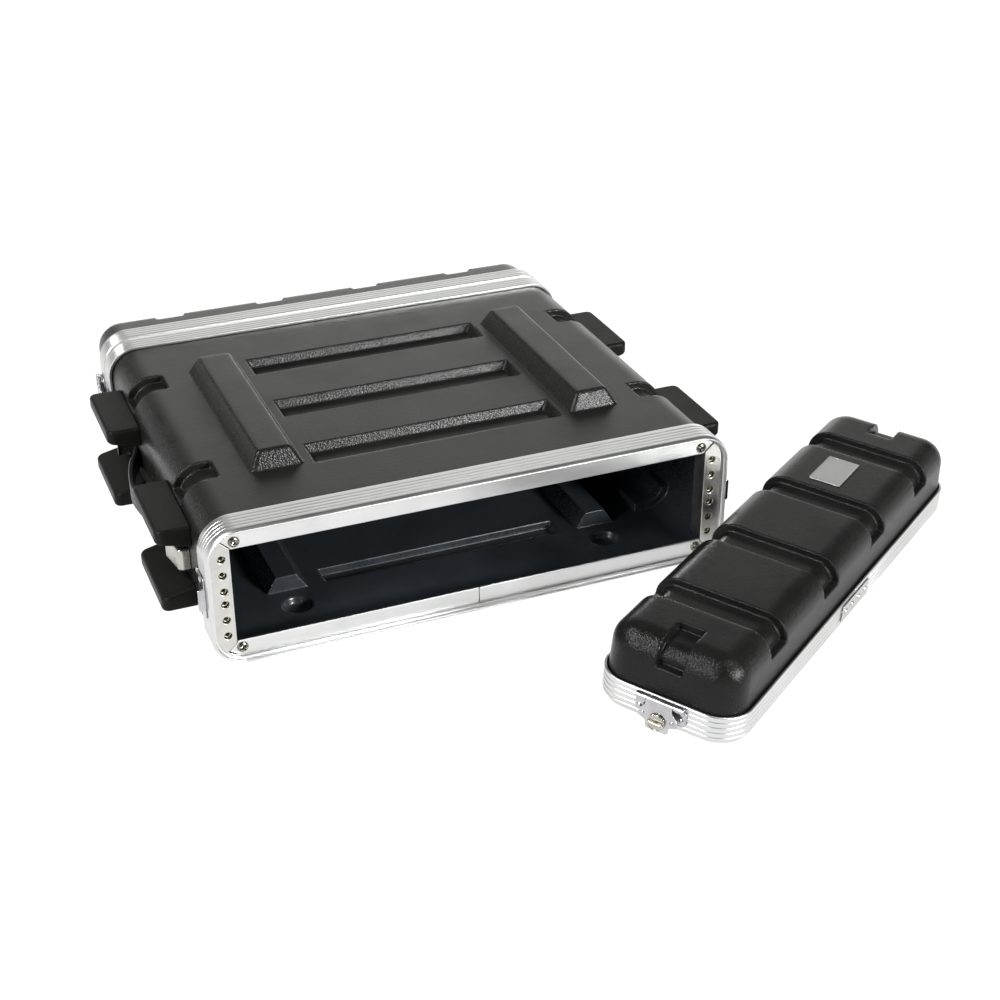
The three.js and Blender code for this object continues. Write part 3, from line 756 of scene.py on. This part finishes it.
def screw(x, y, z):
    """A pan head, domed towards -y, with a cross recess."""
    across = np.hypot(x, z)
    dome = np.hypot(across, y - SCREW["dome_centre"]) - SCREW["dome"]
    head = common(np.maximum(dome, y - 0.15), across - SCREW["head"], 0.5)
    depth = 0.14 * (y + 2)
    arms = np.minimum(np.maximum(np.abs(x) - SCREW["arm"], np.abs(z) - SCREW["reach"]),
                      np.maximum(np.abs(z) - SCREW["arm"], np.abs(x) - SCREW["reach"]))
    recess = np.maximum(np.minimum(arms, across - 1.7) + depth, y - 1.6 + 0.55 * across)
    thread = THREAD * zigzag(y, SCREW["pitch"])
    shank = np.maximum(across - SCREW["shank"] - thread, slab(y, 0, SCREW["length"]))
    return np.maximum(joined(head, shank, 0.2), -recess)


def rails():
    fine = cell_size(0.36)
    rail_shape = surface_of(rail, (224, -0.5, -56), (244, 20.5, 56), fine, 0.01)
    bush_shape = surface_of(rail_bushes, (228.5, 0, -42), (236.5, 9.5, 42), fine * 0.8)
    screw_shape = surface_of(screw, (-5.4, -2.3, -5.4), (5.4, 7.6, 5.4), cell_size(0.15))
    for end, place in ENDS.items():
        for side, sign in (("left", -1), ("right", 1)):
            flip = place @ Matrix.Diagonal((sign, 1, 1, 1))
            name = f"{end}_rail_{side}"
            piece(f"{name}_strip", rail_shape, flip, RAIL_STEEL, "case", [name])
            piece(f"{name}_bushes", bush_shape, flip, BRASS, "case")
            for level, up in (("upper", 1), ("lower", -1)):
                name = f"{end}_screw_{level}_{side}"
                twist = 12 + 31 * up + 17 * sign
                spot = place @ Matrix.Translation((sign * SCREW_X, FLANGE_FACE - 0.25, up * SCREW_Z))
                piece(f"{name}_pan_head", screw_shape, spot @ turned("Y", twist), SCREW_STEEL,
                      "case", [name])


rails()

# ---- side fittings: X away from the case's side, Y along the case, Z up ----

SIDE_X = SHELL["half_x"] + GAP
SIDES = {"left": CASE @ Matrix.Translation((-SIDE_X, 0, 0)) @ Matrix.Diagonal((-1, 1, 1, 1)),
         "right": CASE @ Matrix.Translation((SIDE_X, 0, 0))}
BUMPER = {"reach": 31, "length": 94, "fronts": {"front": 60, "rear": 264}, "high": 41, "low": 20.5,
          "lean": 7 / 31}


def bumper(x, y, z):
    half = BUMPER["length"] / 2
    plan = common(x - BUMPER["reach"], np.abs(y - half) - half, 7)
    under = (BUMPER["low"] + BUMPER["lean"] * x - z) / math.hypot(1, BUMPER["lean"])
    crown = z - BUMPER["high"] + 0.00012 * (y - half) ** 2
    body = common(common(plan, crown, 3.2), under, 2.6)
    return np.maximum(body, -x)


def bumpers():
    shape = surface_of(bumper, (0, 0, 20), (31, 94, 41.5), cell_size(0.6))
    for side, place in SIDES.items():
        for end, front in BUMPER["fronts"].items():
            for level, up in (("upper", 1), ("lower", -1)):
                name = f"{side}_bumper_{end}_{level}"
                spot = place @ Matrix.Diagonal((1, 1, up, 1)) @ Matrix.Translation((0, front, 0))
                piece(f"{name}_block", shape, spot, BUMPER_PLASTIC, "case", [name])


bumpers()

# BOW is half of the strap's path: (along, outwards) as shares of the half span and of the bow.
STRAP = {"half_height": 10.2, "half_thick": 2.3, "middle": 209, "bow": 27, "half_span": 126,
         "root": -6.4, "corner": 1.6}
BOW = [(1, 0), (0.75, 0.12), (0.52, 0.41), (0.4, 0.67), (0.2, 0.9), (0, 1)]
STRAP_GROOVES = (5, 0, -5)
STRAP_DIP = ((1.3, 0), (0.8, 0.35), (0, 0.7), (-0.8, 0.35), (-1.3, 0))


def smooth_curve(points, steps):
    """A Catmull-Rom curve through points, with steps pieces between neighbours."""
    points = np.array(points, float)
    ends = np.concatenate([[2 * points[0] - points[1]], points, [2 * points[-1] - points[-2]]])
    found = []
    for p0, p1, p2, p3 in zip(ends, ends[1:], ends[2:], ends[3:]):
        for t in np.arange(steps) / steps:
            found.append(0.5 * (2 * p1 + (p2 - p0) * t + (2 * p0 - 5 * p1 + 4 * p2 - p3) * t ** 2
                                + (3 * p1 - p0 - 3 * p2 + p3) * t ** 3))
    return np.array(found + [points[-1]])


def strap_section():
    """Across the strap: (height, outwards) pairs, with shallow grooves along its outer face."""
    half, thick, radius = STRAP["half_height"], STRAP["half_thick"], STRAP["corner"]
    high, far = half - radius, thick - radius
    line = arc((high, far), radius, 0, 90)
    for middle in STRAP_GROOVES:
        line += [(middle + step, thick - dip) for step, dip in STRAP_DIP]
    for corner, first in (((-high, far), 90), ((-high, -far), 180), ((high, -far), 270)):
        line += arc(corner, radius, first, first + 90)
    return np.array(line)


def strap_shape():
    near = [(out, -along) for along, out in BOW]
    far = [(out, along) for along, out in BOW[::-1]]
    path = smooth_curve(near + far[1:], 7)
    path = path * (STRAP["bow"], STRAP["half_span"]) + (STRAP["root"], STRAP["middle"])
    tangent = np.gradient(path, axis=0)
    tangent /= np.linalg.norm(tangent, axis=1)[:, None]
    outward = np.stack([tangent[:, 1], -tangent[:, 0]], 1)
    section = strap_section()
    flat = path[:, None] + outward[:, None] * section[None, :, 1:2]
    height = np.broadcast_to(section[:, 0], flat.shape[:2])
    points = np.concatenate([flat, height[..., None]], -1).reshape(-1, 3)
    return points, None, [f[:, ::-1] for f in tube_faces(len(path), len(section))]


# From start to end, measured from the strap's middle, the cap rises from near to far.
CAP = {"start": 135, "end": 105, "near": 10.4, "far": 15.4, "half_height": 11.8, "metal": 1.2}


def strap_cap(x, y, z):
    """A pressed cover over the strap's end, open towards the strap's middle."""
    near, far = STRAP["middle"] - CAP["start"], STRAP["middle"] - CAP["end"]
    lean = (CAP["far"] - CAP["near"]) / (far - near)
    slope_face = (x - CAP["near"] - lean * (y - near)) / math.hypot(1, lean)
    skin = common(common(slope_face, near - y, 4), np.abs(z) - CAP["half_height"], 3)
    shell = np.maximum(skin, -(skin + CAP["metal"]))
    rivet = np.hypot(np.hypot(y - near - 9, z), (x - 10.2) * 1.6) - 3
    return np.maximum(np.maximum(joined(shell, np.maximum(rivet, 9 - x), 0.3), y - far), -x)


KEEPER = {"x": HALF_WIDTH + GAP - SIDE_X, "lip_y": 4, "length": 20, "metal": 1.2, "half": 20,
          "lip_half": 10.5, "lip_reach": 6.5}


def keeper(x, y, z):
    base = KEEPER["x"]
    lip_y, metal = KEEPER["lip_y"], KEEPER["metal"]
    outline = common(slab(y, lip_y, lip_y + KEEPER["length"]), np.abs(z) - KEEPER["half"], 3)
    plate = common(outline, slab(x, base, base + metal), 0.4)
    lip = common(common(slab(x, base, base + KEEPER["lip_reach"]), np.abs(z) - KEEPER["lip_half"], 1.5),
                 slab(y, lip_y, lip_y + metal), 0.4)
    rivet = np.hypot(np.hypot(y - lip_y - 12, np.abs(z) - 14), (x - base - 0.7) * 2) - 2.9
    rivet = np.maximum(rivet, base + 0.3 - x)
    return joined(joined(plate, lip, 0.8), rivet, 0.2)


def side_rivet(x, y, z):
    dome = np.hypot(np.hypot(y, z), x + 3.2) - 5.2
    return common(dome, np.maximum(np.hypot(y, z) - 3.2, -x - 0.6), 0.2)


def side_fittings():
    cell = cell_size(0.35)
    strap = strap_shape()
    cap = surface_of(strap_cap, (0, 73, -12), (17, 105, 12), cell)
    hook = surface_of(keeper, (3, 3, -21), (11, 25, 21), cell)
    turn_round = Matrix.Translation((0, 2 * STRAP["middle"], 0)) @ Matrix.Diagonal((1, -1, 1, 1))
    for side, place in SIDES.items():
        piece(f"{side}_handle_grip", strap, place, STRAP_RUBBER, "case",
              [f"{side}_handle_strap"])
        for end, turn in (("front", Matrix()), ("rear", turn_round)):
            name = f"{side}_handle_cap_{end}"
            piece(f"{name}_pressing", cap, place @ turn, NICKEL, "case", [name])
        for end, turn in (("front", Matrix()), ("rear", TO_REAR)):
            name = f"{side}_keeper_{end}"
            piece(f"{name}_hook", hook, place @ turn, BRIGHT, "case", [name])
    dome = surface_of(side_rivet, (-0.6, -3.4, -3.4), (2.1, 3.4, 3.4), 0.25)
    for index, (y, z) in enumerate([(46, 5), (30, -2)]):
        spot = SIDES["left"] @ Matrix.Translation((-GAP, y, z))
        piece(f"left_side_rivet_{index + 1}", dome, spot, BRIGHT, "case")


side_fittings()

# ---- twist latches: X away from the cover's end, Y along it, Z as the cover's ----

PIN_OUT, PIN_Z = 3.7, 20.6
PIN_RADIUS = 1.1
BARREL = 2.7
BARREL_HALF = 12.0
SHEET = 1.2
PLATE_OUT = 5.2
TURN_Z = 2.5
TURN_OUT = PLATE_OUT + SHEET + GAP
DISC_METAL, WING_METAL = 1.6, 1.3
WING_PIVOT = TURN_OUT + DISC_METAL + GAP + WING_METAL


def latch_base(x, y, z):
    across = np.abs(y)
    outline = common(across - 23.5, slab(z, 3.5, 17.4), 2.5)
    plate = common(outline, slab(x, GAP, GAP + SHEET), 0.35)
    window = common(across - 9, slab(z, 6.5, 14), 1.5)
    plate = carved(plate, window, 0.3)
    round_pin = np.hypot(x - PIN_OUT, z - PIN_Z)
    span = slab(across, BARREL_HALF + GAP, 22)
    knuckle = common(round_pin - BARREL, span, 0.5)
    lug = common(common(slab(x, GAP, PIN_OUT), slab(z, 16.4, PIN_Z), 0.3), span, 0.4)
    rod = common(round_pin - PIN_RADIUS, across - 21.8, 0.4)
    rivet = np.hypot(np.hypot(across - 19.3, z - 8), (x - 1.2) * 1.7) - 2.6
    rivet = np.maximum(rivet, 0.6 - x)
    whole = joined(joined(plate, np.minimum(knuckle, lug), 0.7), rivet, 0.2)
    return np.minimum(whole, rod)


def hook_outline(y, z):
    """The hook plate from the front: narrow at the pin, with shoulders and a tongue below."""
    across = np.abs(y)
    shoulders = np.maximum(across - 18, np.maximum((across - BARREL_HALF + z - 15) * 0.7071,
                                                   (across - 18 + (3 - z) * 2.5) / 2.6926))
    tongue = common(across - 10.5, -7 - z, 3)
    upper = across - BARREL_HALF
    return np.maximum(joined(joined(shoulders, np.maximum(tongue, z - 10), 1.5),
                             np.maximum(upper, 8 - z), 1.5), z - PIN_Z)


def hook_plate(x, y, z):
    """The plate, its edge rolled round the pin, with two nubs and a hole for the disc's stud."""
    across = np.abs(y)
    sheet = common(hook_outline(y, z), slab(x, PLATE_OUT, PLATE_OUT + SHEET), 0.35)
    round_pin = np.hypot(x - PIN_OUT, z - PIN_Z)
    curl = common(np.abs(round_pin - 2.1) - 0.6, across - BARREL_HALF, 0.3)
    notch = np.maximum(slab(x, PIN_OUT - 4, PIN_OUT), slab(z, PIN_Z - 2.2, PIN_Z - 0.7))
    curl = np.maximum(curl, -notch)
    nub = np.hypot(np.hypot(across - 13.4, z - 6), (x - PLATE_OUT - 1) * 1.5) - 1.8
    whole = joined(joined(sheet, curl, 0.3), np.maximum(nub, PLATE_OUT + 0.4 - x), 0.3)
    stud_hole = np.hypot(y, z - TURN_Z) - 2.75
    return carved(whole, stud_hole, 0.25)


def turn_disc(x, y, z):
    """A disc with a milled rim, its stud, and two ears for the wing."""
    across = np.hypot(y, z - TURN_Z)
    angle = np.arctan2(z - TURN_Z, y)
    rim = across - 7.55 + 0.14 * np.cos(16 * angle)
    disc = common(rim, slab(x, TURN_OUT, TURN_OUT + DISC_METAL), 0.4)
    boss = common(across - 2.4, slab(x, PLATE_OUT - 1, TURN_OUT + 0.5), 0.3)
    ear = common(common(np.abs(np.abs(y) - 6.35) - 0.45, slab(z, TURN_Z + 0.25, TURN_Z + 1.5), 0.2),
                 slab(x, TURN_OUT, WING_PIVOT + 1), 0.3)
    return joined(joined(disc, boss, 0.2), ear, 0.2)


def turn_wing(x, y, z):
    """A half disc that folds flat against the turn disc, with a rolled edge to lift it by."""
    out, up = x - WING_PIVOT, z - TURN_Z
    leaf = common(common(np.hypot(y, up) - 7.1, up, 0.4), slab(out, -WING_METAL, 0), 0.4)
    knuckle = common(np.hypot(out, up) - 1.25, np.abs(y) - 5.7, 0.4)
    dish = np.hypot(np.hypot(y, up + 3.6) * 0.55, out - 1.35) - 1.9
    lip = np.abs(np.hypot(y, up) - 6.5) - 0.45
    lip = common(common(lip, up + 1.5, 0.3), slab(out, -0.5, 0.55), 0.25)
    return joined(joined(carved(leaf, dish, 0.3), lip, 0.3), knuckle, 0.4)


def latches():
    cell = cell_size(0.26)
    parts = [
        ("latch_base", "hasp", surface_of(latch_base, (0, -24, 3), (6.6, 24, 24), cell),
         BRIGHT, "bright_fittings", None),
        ("hook_plate", "sheet", surface_of(hook_plate, (0.8, -19, -7.5), (7.2, 19, 24), cell),
         BRIGHT, "bright_fittings", "hook_plate"),
        ("turn_disc", "cam", surface_of(turn_disc, (4, -8, -5.5), (11.2, 8, 10.5), cell * 0.8),
         NICKEL, "nickel_fittings", "turn_disc"),
        ("turn_wing", "leaf", surface_of(turn_wing, (7.9, -7.5, -5), (11.6, 7.5, 4.2), cell * 0.7),
         NICKEL, "nickel_fittings", "turn_wing"),
    ]
    for end, low_side, high_side in (("front", "left", "right"), ("rear", "right", "left")):
        for side, sign in ((low_side, -1), (high_side, 1)):
            spot = COVERS[end] @ Matrix.Translation((sign * HALF_WIDTH, 0, 0))
            spot = spot @ turned("Z", 0 if sign > 0 else 180)
            for part, what, shape, material, slot, own_body in parts:
                body = f"{end}_{side}_{own_body}" if own_body else f"{end}_cover"
                piece(f"{end}_{side}_{part}_{what}", shape, spot, material, body,
                      [f"{end}_{side}_{part}"])


latches()

# ---- joiner plates and the blank badge ----


def joiner(x, y, z):
    face = -HALF_HEIGHT - GAP
    outline = common(np.abs(x) - 30, np.abs(z) - 8.5, 1.5)
    plate = common(outline, slab(y, face - 1, face), 0.3)
    step = np.abs(np.abs(x) - 15) - 7.5
    rivet = np.hypot(np.hypot(step, z), (y - face + 0.8) * 1.6) - 2.9
    return joined(plate, np.maximum(rivet, y - face + 0.4), 0.25)


def badge(x, y, z):
    base = COVER["height"] + GAP
    outline = rounded_rect(x, y, 25.5, 15.5, 1.5)
    plate = common(outline, slab(z, base, base + 0.8), 0.25)
    border = common(np.abs(outline + 1.6) - 0.3, base + 0.62 - z, 0.1)
    return carved(plate, border, 0.1)


def plates():
    cell = cell_size(0.32)
    joiner_shape = surface_of(joiner, (-30, -69.5, -8.5), (30, -67, 8.5), cell)
    for end, place in COVERS.items():
        piece(f"{end}_cover_joiner_plate", joiner_shape,
              place @ Matrix.Translation((0, 0, VALANCE_COVER / 2)), SHEET_ALUMINIUM,
              f"{end}_cover", [f"{end}_cover_joiner"])
    badge_shape = surface_of(badge, (-25.5, -15.5, 69.5), (25.5, 15.5, 71), cell)
    piece("front_cover_blank_badge", badge_shape, FRONT_COVER @ Matrix.Translation((108, 7, 0)),
          BADGE_PLATE, "front_cover", ["front_cover_badge"])


plates()

# ---- camera and stage ----

# The camera fitted to the photo. EYE is in CASE, and the angles are in degrees.
LENS, SENSOR = 62.24, 36
EYE = Vector((-489.0, -1232.8, 789.2))
AZIMUTH, ELEVATION, ROLL = -22.434, 29.281, 0.109


def camera():
    data = bpy.data.cameras.new("camera")
    data.lens, data.sensor_width = LENS, SENSOR
    data.clip_start, data.clip_end = 0.05, 50
    made = new_object("camera", data)
    made.matrix_world = (Matrix.Translation(CASE @ EYE) @ turned("Z", AZIMUTH)
                         @ turned("X", 90 - ELEVATION) @ turned("Z", -ROLL))
    bpy.context.scene.camera = made


camera()


def paper():
    """The studio's white ground, with the faintest mottle and a light of its own."""
    made, tree, shader = new_material("paper")
    mottle = noise(tree, place_of(tree), 3, detail=3)
    tint = tinted(tree, mottle, (0.10, 0.10, 0.10), (0.12, 0.12, 0.12), 0.3, 0.7)
    feed(tree, shader, {"Base Color": tint, "Roughness": 0.9, "Emission Color": (1, 1, 1, 1),
                        "Emission Strength": 1.0})
    return made


FLOOR_HALF = 6.0


def floor():
    mesh = bpy.data.meshes.new("floor")
    corners = [(FLOOR_HALF * x, FLOOR_HALF * y, 0) for x, y in ((-1, -1), (1, -1), (1, 1), (-1, 1))]
    mesh.from_pydata(corners, [], [(0, 1, 2, 3)])
    mesh.materials.append(paper())
    new_object("floor", mesh)


floor()

# Each softbox's place, width in metres and power in watts. All of them face LIT_POINT.
SOFTBOXES = {
    "key": ((1.3, -2.48, 1.03), 0.42, 132),
    "left": ((-2.1, -0.9, 0.88), 0.55, 30),
    "above_left": ((-1.3, -0.05, 1.5), 0.45, 30),
    "above": ((0.42, -0.98, 1.8), 0.35, 9.5),
}
LIT_POINT = Vector((0.1, 0.1, 0.1))
# The bright sweep behind: its direction, how many degrees it reaches, and its level.
SWEEP_AIM, SWEEP_REACH, SWEEP_LEVEL = Vector((0.366, 0.93, 0.12)), 40, 1.5


def softbox(name, where, width, power):
    data = bpy.data.lights.new(name, "AREA")
    data.shape = "RECTANGLE"
    data.size, data.size_y = width, width
    data.energy = power
    made = new_object(name, data)
    made.location = where
    made.rotation_mode = "QUATERNION"
    made.rotation_quaternion = (LIT_POINT - Vector(where)).to_track_quat("-Z", "Y")


def sweep(tree, direction):
    """Light of the sky round SWEEP_AIM, which fades out towards its reach."""
    facing = node(tree, "ShaderNodeVectorMath", {0: direction, 1: SWEEP_AIM.normalized()},
                  operation="DOT_PRODUCT").outputs["Value"]
    made = node(tree, "ShaderNodeMapRange",
                {"Value": facing, "From Min": math.cos(math.radians(SWEEP_REACH)), "From Max": 1,
                 "To Min": 0, "To Max": SWEEP_LEVEL}, interpolation_type="SMOOTHERSTEP")
    return made.outputs["Result"]


def studio():
    """A dim room with a bright sweep behind, a pale horizon, and white haze below it."""
    world = bpy.data.worlds.new("studio")
    world.use_nodes = True
    tree = world.node_tree
    direction = node(tree, "ShaderNodeTexCoord").outputs["Generated"]
    height = node(tree, "ShaderNodeSeparateXYZ", {"Vector": direction}).outputs["Z"]
    horizon = between(tree, height, low=0.6, high=0.09, start=0.05, stop=0.33)
    haze = between(tree, height, low=0.4, high=0.0, start=0.0, stop=0.05)
    glow = summed(tree, summed(tree, horizon, haze), sweep(tree, direction))
    feed(tree, tree.nodes["Background"], {"Color": (1, 1, 0.985, 1), "Strength": glow})
    bpy.context.scene.world = world
    bpy.context.scene.view_settings.view_transform = "Standard"


studio()
for name, settings in SOFTBOXES.items():
    softbox(name, *settings)
